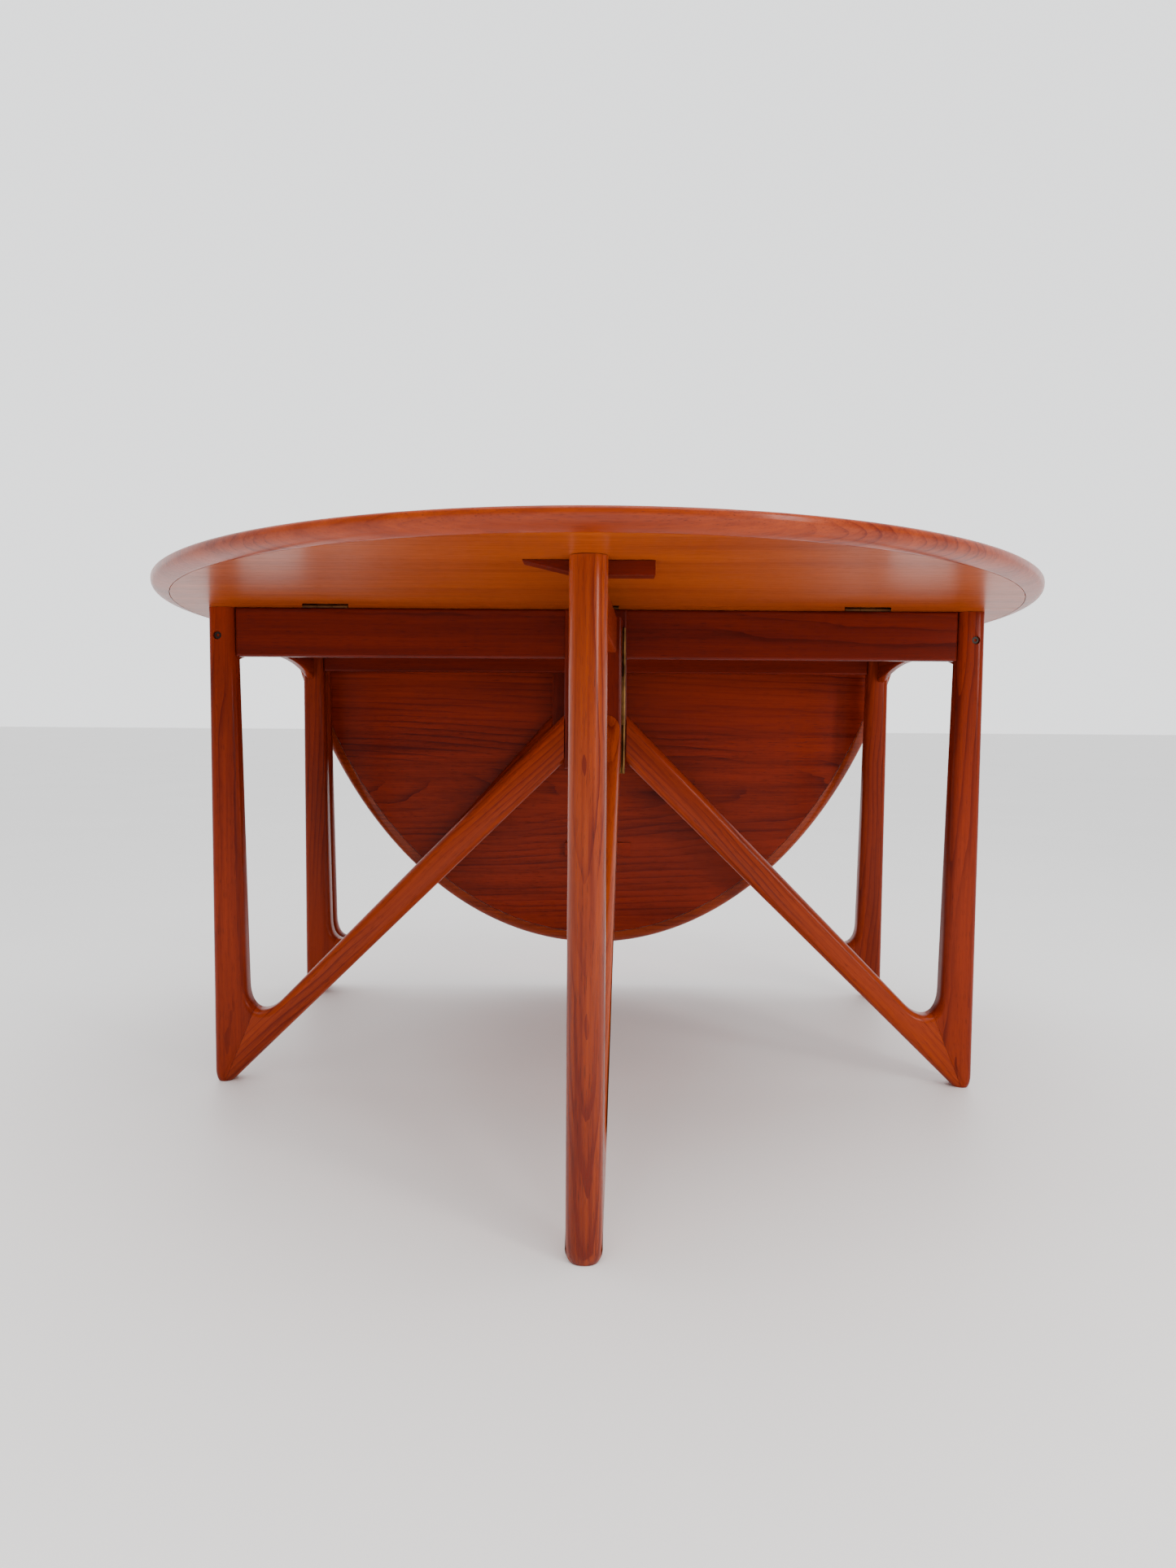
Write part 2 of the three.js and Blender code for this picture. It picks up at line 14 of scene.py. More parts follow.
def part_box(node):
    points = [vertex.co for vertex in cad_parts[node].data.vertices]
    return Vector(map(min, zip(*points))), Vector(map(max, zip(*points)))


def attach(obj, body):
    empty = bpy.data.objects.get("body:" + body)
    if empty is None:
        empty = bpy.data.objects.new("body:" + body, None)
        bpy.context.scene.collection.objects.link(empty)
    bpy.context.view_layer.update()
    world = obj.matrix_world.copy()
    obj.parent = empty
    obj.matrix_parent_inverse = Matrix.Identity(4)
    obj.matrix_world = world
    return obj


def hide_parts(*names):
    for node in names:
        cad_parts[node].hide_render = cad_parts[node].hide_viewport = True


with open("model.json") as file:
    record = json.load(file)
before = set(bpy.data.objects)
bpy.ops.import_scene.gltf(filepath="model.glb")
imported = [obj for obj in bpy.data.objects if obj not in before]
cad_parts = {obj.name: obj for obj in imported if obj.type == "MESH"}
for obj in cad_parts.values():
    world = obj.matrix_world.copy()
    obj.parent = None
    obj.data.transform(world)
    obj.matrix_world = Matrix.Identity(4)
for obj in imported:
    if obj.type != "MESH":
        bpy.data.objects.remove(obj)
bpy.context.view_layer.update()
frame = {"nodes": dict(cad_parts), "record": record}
nodes = frame["nodes"]

# %% [markdown]
# The table was drawn round the middle of its fixed board, and later moved along Y so that its box
# is centred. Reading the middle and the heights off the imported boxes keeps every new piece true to
# the frame, whatever its sizes are.

# %% Measure the frame
TOP_LOW, TOP_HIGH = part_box("center_board")
UNDERSIDE, TOP_HEIGHT = TOP_LOW[2], TOP_HIGH[2]
MIDDLE_Y = (TOP_LOW[1] + TOP_HIGH[1]) / 2
SEAM_GAP = 0.001
SEAM_Y = (TOP_HIGH[1] - TOP_LOW[1] + SEAM_GAP) / 2
TOP_HALF_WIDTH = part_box("center_edge_right")[1][0]
TOP_HALF_LENGTH = MIDDLE_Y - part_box("front_leaf_edge")[0][1]
GLUE_GAP = 0.0003
print("middle y", round(MIDDLE_Y, 4), "underside z", round(UNDERSIDE, 4))

# %% [markdown]
# A material is a small piece of arithmetic on the place of each point. Writing it node by node
# hides the arithmetic, so this class wraps one socket and lets sums be written as on numbers.
# Anything that isn't a sum comes from one method that takes the node's type, settings and inputs.

# %% Sums on sockets
class Val:
    """One output socket of a material, on which sums can be written."""

    def __init__(self, shader, socket):
        self.shader = shader
        self.socket = socket

    def other(self, output):
        """Another output of the node that this one belongs to."""
        return Val(self.shader, self.socket.node.outputs[output])

    def math(self, operation, first, *others):
        values = dict(enumerate((first, *others)))
        return self.shader.node("ShaderNodeMath", {"operation": operation}, values)

    def __add__(self, other):
        return self.math("ADD", self, other)

    def __sub__(self, other):
        return self.math("SUBTRACT", self, other)

    def __mul__(self, other):
        return self.math("MULTIPLY", self, other)

    def __pow__(self, other):
        return self.math("POWER", self, other)

    __radd__ = __add__


class Shader:
    """A material with its main shader, and the one method that adds any node."""

    def __init__(self, name):
        self.material = bpy.data.materials.new(name)
        self.material.use_nodes = True
        self.tree = self.material.node_tree
        self.main = self.tree.nodes["Principled BSDF"]

    def node(self, kind, settings=None, inputs=None, output=0):
        made = self.tree.nodes.new(kind)
        for key, value in (settings or {}).items():
            setattr(made, key, value)
        self.feed(made, inputs or {})
        return Val(self, made.outputs[output])

    def feed(self, node, inputs):
        for key, value in inputs.items():
            if isinstance(value, Val):
                self.tree.links.new(value.socket, node.inputs[key])
            else:
                node.inputs[key].default_value = value

    def finish(self, **inputs):
        self.feed(self.main, {key.replace("_", " "): value for key, value in inputs.items()})
        return self.material


print("socket arithmetic ready")

# %% [markdown]
# Teak shows four things at four scales: wide bands of growth rings that make flames where a board
# is cut near the middle of the log, long fibres, short dark pores, and slow changes of tone. A
# picture of wood would repeat and would need unwrapping, so each is worked out from the point's
# own place, turned so that X runs with the grain. A ring is a distance from the log's heart, and
# the heart runs a little askew to the piece, which draws the flames. The oil is a thin coat.

# %% Teak
SWAY = 0.05
RIPPLE = 0.004
FIBRE_TONE = 1.3
STREAK_TONE = 1.5
BASE_TONE = 0.3
# Height below which painted shade darkens a leg towards the floor.
FOOT_SHADE_HEIGHT = 0.62
FACE_STEP = 0.001
PORE_SHARE = 0.65
PORE_STRENGTH = 0.30
WARM_SHARE = 0.4
WARM_LIFT = 1.18
FIBRE_ROUGHNESS = 0.14
PORE_ROUGHNESS = 0.12
COAT_ROUGHNESS = 0.16
BUMP_STRENGTH = 0.18
BUMP_HEIGHT = 0.0004


def mix_colors(shader, amount, first, second):
    return shader.node(
        "ShaderNodeMix",
        {"data_type": "RGBA", "clamp_factor": True},
        {0: amount, 6: first, 7: second},
        output=2,
    )


def noise(shader, place, stretch, detail, roughness=0.55):
    stretched = shader.node(
        "ShaderNodeVectorMath", {"operation": "MULTIPLY"}, {0: place, 1: stretch})
    return shader.node(
        "ShaderNodeTexNoise",
        {"noise_dimensions": "3D"},
        {"Vector": stretched, "Scale": 1.0, "Detail": detail, "Roughness": roughness},
    )


def smooth_step(shader, value, low, high):
    return shader.node(
        "ShaderNodeMapRange",
        {"interpolation_type": "SMOOTHSTEP"},
        {"Value": value, "From Min": low, "From Max": high},
    )


def teak(name, turn, heart, light, dark, oil, rings=120, askew=0.06, flame=0.8, gloss=0.32,
         foot_shade=0.0, top_tones=None, top_from=0.0):
    """turn lays the grain on X; heart is the place of the log's heart after it; oil is the sheen.

    foot_shade paints shade that darkens the wood towards the floor. A board that hangs may carry
    painted shade on its underside, with other tones on its top face, which is beyond top_from along Y.
    """
    shader = Shader(name)
    place = shader.node("ShaderNodeTexCoord", output=3)
    grain = shader.node(
        "ShaderNodeMapping", inputs={"Vector": place, "Rotation": turn, "Location": heart})
    split = shader.node("ShaderNodeSeparateXYZ", inputs={0: grain})
    along, across, depth = split, split.other(1), split.other(2)

    sway = noise(shader, grain, (2.2, 9, 9), 2) - 0.5
    ripple = noise(shader, grain, (14, 70, 70), 2) - 0.5
    lean = depth + along * askew + sway * SWAY
    radius = (across * across + lean * lean) ** 0.5 + ripple * RIPPLE
    turns = radius * rings
    late = turns.math("FRACT", turns) ** 4
    soft_late = late * smooth_step(shader, noise(shader, grain, (3, 16, 16), 1), 0.3, 0.65)

    fibres = noise(shader, grain, (7, 300, 300), 4, 0.65)
    pores = smooth_step(shader, noise(shader, grain, (55, 1500, 1500), 1), 0.60, 0.72)
    streaks = noise(shader, grain, (1.6, 38, 38), 2)
    clouds = noise(shader, grain, (1.3, 5, 5), 1)

    own_place = shader.node("ShaderNodeSeparateXYZ", inputs={0: place})
    # Painted shade: the wood darkens towards the floor.
    painted_foot_shade = smooth_step(shader, own_place.other(2), FOOT_SHADE_HEIGHT, 0.0) * foot_shade
    streaked = (fibres - 0.5) * FIBRE_TONE + (streaks - 0.5) * STREAK_TONE
    darker = soft_late * flame + streaked + BASE_TONE + painted_foot_shade
    # A hanging board's underside carries painted shade; its top face gets top_tones.
    top_light, top_dark = top_tones or (light, dark)
    if top_tones:
        on_top = smooth_step(
            shader, own_place.other(1), top_from - FACE_STEP, top_from + FACE_STEP)

    def tone(lower, upper, strength):
        colors = [(*(part * strength for part in color), 1) for color in (lower, upper)]
        return mix_colors(shader, on_top, *colors) if top_tones else colors[0]

    wood = mix_colors(shader, darker, tone(light, top_light, 1), tone(dark, top_dark, 1))
    flecked = mix_colors(shader, pores * PORE_SHARE, wood, tone(dark, top_dark, PORE_STRENGTH))
    warm = tone(light, top_light, WARM_LIFT)
    warmed = smooth_step(shader, clouds, 0.45, 0.8) * WARM_SHARE
    toned = mix_colors(shader, warmed, flecked, warm)

    rough = gloss + (fibres - 0.5) * FIBRE_ROUGHNESS + pores * PORE_ROUGHNESS
    relief = fibres * 0.4 - pores
    bump = shader.node("ShaderNodeBump", inputs={
        "Height": relief, "Strength": BUMP_STRENGTH, "Distance": BUMP_HEIGHT})
    shader.feed(shader.main, {
        "Coat Weight": oil, "Coat Roughness": COAT_ROUGHNESS, "Specular IOR Level": oil})
    return shader.finish(Base_Color=toned, Roughness=rough, Normal=bump)


ALONG_X = (0, 0, 0)
UPRIGHT = (0, math.radians(90), 0)
ALONG_Y = (0, 0, math.radians(-90))
UPRIGHT_FLAMED = (math.radians(90), 0, math.radians(90))
HANGING_FLAMED = (math.radians(-90), 0, 0)
# One teak in lit and shaded copies: frame, rail and hanging leaf tones are painted shade, brace and
# gate tones painted light.
BOARD_TONES = ((0.41, 0.072, 0.004), (0.22, 0.025, 0.002), 0.12)
EDGE_TONES = ((0.34, 0.042, 0.003), (0.14, 0.010, 0.001), 0.18)
FRAME_SHADED_TONES = ((0.26, 0.024, 0.002), (0.10, 0.005, 0.001), 0.09)
BRACE_LIT_TONES = ((0.34, 0.038, 0.003), (0.13, 0.008, 0.001), 0.11)
RAIL_SHADED_TONES = ((0.16, 0.011, 0.002), (0.06, 0.003, 0.001), 0.08)
LEAF_SHADED_TONES = ((0.29, 0.022, 0.003), (0.10, 0.004, 0.001), 0.09)
GATE_LIT_TONES = ((0.42, 0.060, 0.004), (0.14, 0.009, 0.001), 0.16)
print("teak ready")

# %% [markdown]
# The hinges are drawn brass, brushed along their length: slightly brown on the gates, and much
# darker under the leaves. The bolts are blackened steel. All of them only need a fine
# streak in the roughness and a little change of tone.

# %% Metals
def metal(name, light, dark, stretch, roughness):
    shader = Shader(name)
    place = shader.node("ShaderNodeTexCoord", output=3)
    streak = noise(shader, place, stretch, 3)
    stain = noise(shader, place, (40, 40, 40), 3)
    tone = mix_colors(
        shader, smooth_step(shader, stain, 0.35, 0.7), (*light, 1), (*dark, 1))
    bump = shader.node("ShaderNodeBump", inputs={
        "Height": streak, "Strength": 0.1, "Distance": 0.0002})
    shader.feed(shader.main, {"Metallic": 1.0})
    return shader.finish(Base_Color=tone, Roughness=roughness + (streak - 0.5) * 0.25, Normal=bump)


BRASS = metal("aged_brass", (0.26, 0.13, 0.04), (0.09, 0.04, 0.015), (60, 900, 900), 0.34)
# Darker brass for the hinges under the leaves.
DARK_BRASS = metal("dark_brass", (0.09, 0.035, 0.012), (0.035, 0.013, 0.006), (60, 900, 900), 0.5)
STEEL = metal("black_steel", (0.05, 0.045, 0.04), (0.018, 0.016, 0.014), (400, 400, 400), 0.42)
print("metals:", BRASS.name, DARK_BRASS.name, STEEL.name)

# %% [markdown]
# A bmesh is the workbench: shapes are made there by operators and then written into a mesh whose
# object stays at the origin. Smooth shading with sharp edges only where two faces meet steeply
# lets a few segments read as a round edge.

# %% Workbench helpers
def to_piece(name, shape, material, body, slot, *replaced):
    bmesh.ops.remove_doubles(shape, verts=shape.verts[:], dist=1e-6)
    bmesh.ops.recalc_face_normals(shape, faces=shape.faces[:])
    mesh = bpy.data.meshes.new(name)
    shape.to_mesh(mesh)
    shape.free()
    mesh.shade_smooth()
    mesh.set_sharp_from_angle(angle=math.radians(38))
    mesh.materials.append(material)
    piece = bpy.data.objects.new(name, mesh)
    bpy.context.scene.collection.objects.link(piece)
    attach(piece, body)
    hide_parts(*replaced)
    print(name, len(mesh.polygons), "faces on", body)
    return piece


def saw(shape, point, outward):
    """Cuts off what lies on the outward side of a plane, and closes the cut."""
    everything = shape.verts[:] + shape.edges[:] + shape.faces[:]
    made = bmesh.ops.bisect_plane(
        shape, geom=everything, plane_co=point, plane_no=outward, clear_outer=True)
    rim = [part for part in made["geom_cut"] if isinstance(part, bmesh.types.BMEdge)]
    bmesh.ops.holes_fill(shape, edges=rim, sides=0)


def round_corner(shape, corner, offset, segments):
    bmesh.ops.bevel(
        shape, geom=[corner], offset=offset, offset_type="OFFSET", segments=segments,
        profile=0.5, affect="VERTICES", material=-1)


def thicken(shape, thickness):
    """Gives the flat outline its thickness along +Y."""
    made = bmesh.ops.extrude_face_region(shape, geom=shape.faces[:])
    moved = [part for part in made["geom"] if isinstance(part, bmesh.types.BMVert)]
    bmesh.ops.translate(shape, verts=moved, vec=(0, thickness, 0))
    bmesh.ops.recalc_face_normals(shape, faces=shape.faces[:])


def soften_rims(shape, radius, segments):
    """Rounds the long edges between the two flat sides and the band round them."""
    flat = [face for face in shape.faces if abs(face.normal.y) > 0.9]
    rims = {edge for face in flat for edge in face.edges}
    bmesh.ops.bevel(
        shape, geom=list(rims), offset=radius, offset_type="OFFSET", segments=segments,
        profile=0.5, affect="EDGES", clamp_overlap=False, material=-1)


print("workbench ready")

# %% [markdown]
# Each leg runs down to a pointed foot and meets a diagonal that climbs to the middle of the frame,
# with one wide round where they part. The leg narrows upwards. A leg could be a box and the
# diagonal another, but the real ones are shaped together: so one flat outline is drawn for both,
# its foot and crotch are rounded, it is thickened, its long edges are softened, and only then is
# it sawn in two along the joint.

# %% The outline of a leg and its diagonal
LEG_TOP_WIDTH = 0.037
LEG_LOW_WIDTH = 0.048
LEG_LOW_HEIGHT = 0.160
CROTCH_RADIUS = 0.030
FOOT_RADIUS = 0.018
FOOT_SPARE = 0.001
FOOT_FLAT = 0.0002
BRACE_LOW_START = 0.025
BRACE_LOW_DROP = 0.221
BRACE_HIGH_INSET = 0.110
BRACE_HIGH_HEIGHT = 0.133
BRACE_HIGH_DROP = 0.153
LEG_TAPER = (LEG_LOW_WIDTH - LEG_TOP_WIDTH) / (UNDERSIDE - LEG_LOW_HEIGHT)
SPARE = 0.04


def leg_inner_edge(height):
    return LEG_TOP_WIDTH + (UNDERSIDE - height) * LEG_TAPER


def brace_slopes(width):
    """The slopes of the diagonal's lower and upper edges, which end at set heights."""
    low = (UNDERSIDE - BRACE_LOW_DROP) / (width - BRACE_LOW_START)
    high = (UNDERSIDE - BRACE_HIGH_DROP - BRACE_HIGH_HEIGHT) / (width - BRACE_HIGH_INSET)
    return low, high


def leg_with_brace(width, top, thickness, edge_radius):
    """Outer edge at X = 0, inwards along +X, thickness along +Y, the foot on the floor."""
    low_slope, high_slope = brace_slopes(width)
    low_angle, high_angle = math.atan(low_slope), math.atan(high_slope)

    def brace_low(inset):
        return (inset - BRACE_LOW_START) * low_slope

    def brace_high(inset):
        return BRACE_HIGH_HEIGHT + (inset - BRACE_HIGH_INSET) * high_slope

    foot_radius = max(FOOT_RADIUS, edge_radius + FOOT_SPARE)
    foot_middle = foot_radius / math.cos(low_angle) + brace_low(foot_radius)
    lift = foot_radius - FOOT_FLAT - foot_middle
    brace_foot = BRACE_HIGH_HEIGHT - BRACE_HIGH_INSET * high_slope
    meet = (leg_inner_edge(0) - LEG_TAPER * brace_foot) / (1 + LEG_TAPER * high_slope)
    end = width + SPARE
    high = top + SPARE
    corners = [
        (0, high), (0, brace_low(0) + lift), (end, brace_low(end) + lift),
        (end, brace_high(end)), (meet, brace_high(meet)), (leg_inner_edge(high), high),
    ]
    shape = bmesh.new()
    points = [shape.verts.new((x, 0, z)) for x, z in corners]
    shape.faces.new(points)
    foot_angle = math.pi / 2 - low_angle
    round_corner(shape, points[1], foot_radius / math.tan(foot_angle / 2), 12)
    shape.verts.ensure_lookup_table()
    inner = min(shape.verts, key=lambda v: (v.co - Vector((meet, 0, brace_high(meet)))).length)
    crotch_angle = math.pi / 2 - high_angle
    round_corner(shape, inner, CROTCH_RADIUS / math.tan(crotch_angle / 2), 16)
    thicken(shape, thickness)
    soften_rims(shape, edge_radius, 6)
    saw(shape, (0, 0, top), (0, 0, 1))
    saw(shape, (width, 0, 0), (1, 0, 0))
    saw(shape, (0, 0, 0), (0, 0, -1))
    return shape


def split_at_joint(shape, width):
    """The leg and the diagonal, parted along a line from the foot up through the crotch."""
    lean = (math.pi / 2 - math.atan(brace_slopes(width)[1])) / 2
    point = Vector((LEG_LOW_WIDTH + CROTCH_RADIUS * 0.3, 0, BRACE_HIGH_HEIGHT * 0.75))
    inward = Vector((math.cos(lean), 0, -math.sin(lean)))
    leg, brace = shape, shape.copy()
    saw(leg, point - inward * GLUE_GAP / 2, inward)
    saw(brace, point + inward * GLUE_GAP / 2, -inward)
    print("joint leans", round(math.degrees(lean), 1), "degrees")
    return leg, brace


# %% [markdown]
# The four frame legs differ only by where they stand, so one shape is made, mirrored for the other
# hand, and moved. A mirrored shape is inside out until its normals are worked out again, which the
# workbench does for every piece. Each piece gets its own stretch of the log, and each leg gets a
# hole sunk for the head of its bolt.

# %% Frame legs and diagonals
HOLE_RADIUS = 0.0060
HOLE_SPARE = 0.0015
FRAME_EDGE = 0.011
BRACE_TURN = math.radians(45)


def drill(shape, middle, depth):
    """Bores a round hole along Y with the boolean modifier, and gives back the drilled shape."""
    bit = bmesh.new()
    bmesh.ops.create_cone(
        bit, cap_ends=True, segments=32, radius1=HOLE_RADIUS, radius2=HOLE_RADIUS, depth=depth)
    bmesh.ops.rotate(
        bit, cent=(0, 0, 0), matrix=Matrix.Rotation(math.pi / 2, 3, "X"), verts=bit.verts[:])
    bmesh.ops.translate(bit, vec=middle, verts=bit.verts[:])
    solids = []
    for part in (shape, bit):
        bmesh.ops.recalc_face_normals(part, faces=part.faces[:])
        mesh = bpy.data.meshes.new("drilling")
        part.to_mesh(mesh)
        part.free()
        solids.append(bpy.data.objects.new("drilling", mesh))
        bpy.context.scene.collection.objects.link(solids[-1])
    cut = solids[0].modifiers.new("drill", "BOOLEAN")
    cut.operation, cut.object, cut.solver = "DIFFERENCE", solids[1], "EXACT"
    bpy.context.view_layer.update()
    drilled = bmesh.new()
    drilled.from_object(solids[0], bpy.context.evaluated_depsgraph_get())
    for solid in solids:
        bpy.data.meshes.remove(solid.data)
    return drilled


def place_pair(pair, sign, outer_x, low_y):
    """sign is +1 when the diagonal runs towards +X from the outer edge."""
    for shape in pair:
        bmesh.ops.scale(shape, vec=(sign, 1, 1), verts=shape.verts[:])
        bmesh.ops.translate(shape, vec=(outer_x, low_y, 0), verts=shape.verts[:])


POST_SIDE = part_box("front_center_post")[1][0]
for side in ("front", "back"):
    for hand, sign in (("left", 1), ("right", -1)):
        node = f"{side}_{hand}_leg"
        low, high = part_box(node)
        outward = 1 if low[0] + high[0] > 0 else -1
        outer_x = high[0] if outward > 0 else low[0]
        width = abs(outer_x) - POST_SIDE - GLUE_GAP
        pair = split_at_joint(
            leg_with_brace(width, high[2], high[1] - low[1], FRAME_EDGE), width)
        place_pair(pair, -outward, outer_x, low[1])
        head_low, head_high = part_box(f"{side}_{hand}_bolt")
        face = low[1] if side == "front" else high[1]
        head = head_low[1] if side == "front" else head_high[1]
        hole = ((head_low[0] + head_high[0]) / 2, face, (head_low[2] + head_high[2]) / 2)
        leg = drill(pair[0], hole, 2 * (abs(head - face) + HOLE_SPARE))
        log_start = 0.31 * sign + 0.7 * (side == "back")
        # The frame legs carry painted shade in their tones, the diagonals painted light.
        leg_teak = teak(f"teak_{node}", UPRIGHT, (log_start, -low[1] - 0.05, outer_x), *FRAME_SHADED_TONES)
        turn = (0, BRACE_TURN if outward < 0 else math.pi - BRACE_TURN, 0)
        brace_teak = teak(
            f"teak_{side}_{hand}_diagonal", turn, (log_start, -low[1] - 0.06, 0.02), *BRACE_LIT_TONES)
        to_piece(f"leg_{side}_{hand}", leg, leg_teak, "table", "teak_frame", node)
        to_piece(f"diagonal_{side}_{hand}", pair[1], brace_teak, "table", "teak_frame",
                 f"{side}_{hand}_diagonal")

# %% [markdown]
# A gate is a leg and a diagonal of the same pattern, hung on the middle of the frame, with edges
# that are almost fully round. The front gate stands open at a few degrees past square, so its shape
# is made flat at the hinge and then turned about the pin. The heart of the log is laid in front of the
# leg and nearer to it at the top, which draws the pointed flames. The front gate has painted light in
# its tones, and its leg carries painted shade that darkens it towards its foot.

# %% Gate legs
GATE_EDGE = 0.0175
PIN_INSET = 0.004
GATE_REACH = 0.522
GATE_STANDOFF = 0.0028
GATE_STILE_END = 0.0428
GATE_OPEN = math.radians(93.1)
PIN_X = {"front": POST_SIDE - PIN_INSET, "back": PIN_INSET - POST_SIDE}
HALF_TURN = {"front": math.pi, "back": 0.0}
GATE_BODY = {"front": "front_gate", "back": "table"}
LOG_DEPTH = 0.065
LOG_PLACE = {"front": LOG_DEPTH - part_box("front_gate_leg")[0][1],
             "back": LOG_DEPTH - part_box("back_gate_leg")[1][1]}

for side in ("front", "back"):
    gate_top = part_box(f"{side}_gate_leg")[1][2]
    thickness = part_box("back_gate_leg")[1][1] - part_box("back_gate_leg")[0][1]
    width = GATE_REACH - GATE_STILE_END - GLUE_GAP
    pair = split_at_joint(leg_with_brace(width, gate_top, thickness, GATE_EDGE), width)
    place_pair(pair, 1, -GATE_REACH, GATE_STANDOFF)
    hinge_low, hinge_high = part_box(f"{side}_gate_hinge_fixed")
    front = side == "front"
    opened = GATE_OPEN if front else 0.0
    standoff = GATE_STANDOFF - GLUE_GAP
    pin_y = hinge_high[1] - standoff if front else hinge_low[1] + standoff
    swing = Matrix.Translation((PIN_X[side], pin_y, 0)) @ Matrix.Rotation(
        HALF_TURN[side] - opened, 4, "Z")
    for shape in pair:
        bmesh.ops.transform(shape, matrix=swing, verts=shape.verts[:])
    # The front gate has painted light in its tones; the back gate has the painted shade of the frame.
    tones = GATE_LIT_TONES if front else FRAME_SHADED_TONES
    # The front gate leg carries painted shade, darker towards its foot.
    leg_teak = teak(f"teak_{side}_gate_leg", UPRIGHT_FLAMED, (0.12, 0.011, LOG_PLACE[side]), *tones,
                    rings=170, askew=-0.045, flame=1.0, gloss=0.28,
                    foot_shade=0.5 if front else 0.0)
    brace_turn = (-BRACE_TURN, 0, math.radians(-90)) if front else (0, BRACE_TURN, 0)
    brace_teak = teak(f"teak_{side}_gate_diagonal", brace_turn, (0.4, 0.03, 0.05), *tones)
    to_piece(f"leg_{side}_gate", pair[0], leg_teak, GATE_BODY[side], "teak_frame",
             f"{side}_gate_leg")
    to_piece(f"diagonal_{side}_gate", pair[1], brace_teak, GATE_BODY[side], "teak_frame",
             f"{side}_gate_diagonal")

# %% [markdown]
# The end rails tie the front legs to the back ones and are arched underneath. A straight board is
# divided along its lower edge, the new points are lifted onto the arch, and the board is thickened
# and softened like the legs.

# %% Arched end rails
ARCH_FLATNESS = 2.4
ARCH_RISE = 0.031
ARCH_CUTS = 39
BASE_MARGIN = 0.001
RAIL_EDGE = 0.004


def arched_rail(low, high):
    half_span = (high[1] - low[1]) / 2
    near_base = low[2] + BASE_MARGIN
    shape = bmesh.new()
    corners = [(-half_span, low[2]), (half_span, low[2]), (half_span, high[2]), (-half_span, high[2])]
    points = [shape.verts.new((x, 0, z)) for x, z in corners]
    shape.faces.new(points)
    lower = [edge for edge in shape.edges if all(v.co.z < near_base for v in edge.verts)]
    bmesh.ops.subdivide_edges(shape, edges=lower, cuts=ARCH_CUTS)
    for vert in shape.verts:
        if vert.co.z < near_base:
            vert.co.z += ARCH_RISE * (1 - abs(vert.co.x / half_span) ** ARCH_FLATNESS)
    thicken(shape, high[0] - low[0])
    soften_rims(shape, RAIL_EDGE, 4)
    bmesh.ops.rotate(
        shape, cent=(0, 0, 0), matrix=Matrix.Rotation(math.pi / 2, 3, "Z"), verts=shape.verts[:])
    shift = (high[0], (low[1] + high[1]) / 2, 0)
    bmesh.ops.translate(shape, vec=shift, verts=shape.verts[:])
    return shape


for hand in ("left", "right"):
    low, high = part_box(f"{hand}_end_rail")
    # The end rails carry the frame's painted shade.
    rail_teak = teak(f"teak_{hand}_end_rail", ALONG_Y, (0.2, -high[0], 0.1), *FRAME_SHADED_TONES)
    to_piece(f"end_rail_{hand}", arched_rail(low, high), rail_teak, "table", "teak_frame",
             f"{hand}_end_rail")

# %% [markdown]
# A solid band runs round the whole oval: square to the board inside, a small round on top, and a
# big soft round underneath that makes the top look thin. A lathe shape suits it: one corner
# outline spun round a circle, each point then pushed out along Y so that the circle becomes the
# oval and the band keeps its width. It is sawn where the leaves part from the middle.

# %% The edge band
BAND_WIDTH = 0.0217
TOP_ROUND = 0.003
NOSE_RISE = 0.0135
UNDER_SWELL = 0.0035
UNDERCUT = 0.021
UNDER_STEPS = 14
OVAL_STEPS = 256


def under_curve(step):
    """A point of the swelling underside, as how far in from the edge and how far up."""
    part = step / UNDER_STEPS
    inset = part ** 2 * UNDERCUT
    rise = (1 - part) ** 2 * NOSE_RISE + 2 * part * (1 - part) * UNDER_SWELL
    return inset, rise


def edge_band():
    radius = TOP_HALF_WIDTH
    shape = bmesh.new()
    corners = [(radius - BAND_WIDTH, TOP_HEIGHT), (radius, TOP_HEIGHT)]
    for step in range(UNDER_STEPS + 1):
        inset, rise = under_curve(step)
        corners.append((radius - inset, UNDERSIDE + rise))
    corners.append((radius - BAND_WIDTH, UNDERSIDE))
    points = [shape.verts.new((x, 0, z)) for x, z in corners]
    shape.faces.new(points)
    round_corner(shape, points[1], TOP_ROUND, 4)
    outline = shape.faces[:]
    edges = list({edge for face in outline for edge in face.edges})
    bmesh.ops.delete(shape, geom=outline, context="FACES_ONLY")
    bmesh.ops.spin(
        shape, geom=shape.verts[:] + edges, cent=(0, 0, 0), axis=(0, 0, 1),
        angle=2 * math.pi, steps=OVAL_STEPS, use_merge=True)
    bmesh.ops.remove_doubles(shape, verts=shape.verts[:], dist=1e-6)
    for vert in shape.verts:
        reach = math.hypot(vert.co.x, vert.co.y)
        vert.co.y *= 1 + (TOP_HALF_LENGTH - TOP_HALF_WIDTH) / reach
    bmesh.ops.recalc_face_normals(shape, faces=shape.faces[:])
    bmesh.ops.translate(shape, vec=(0, MIDDLE_Y, 0), verts=shape.verts[:])
    return shape


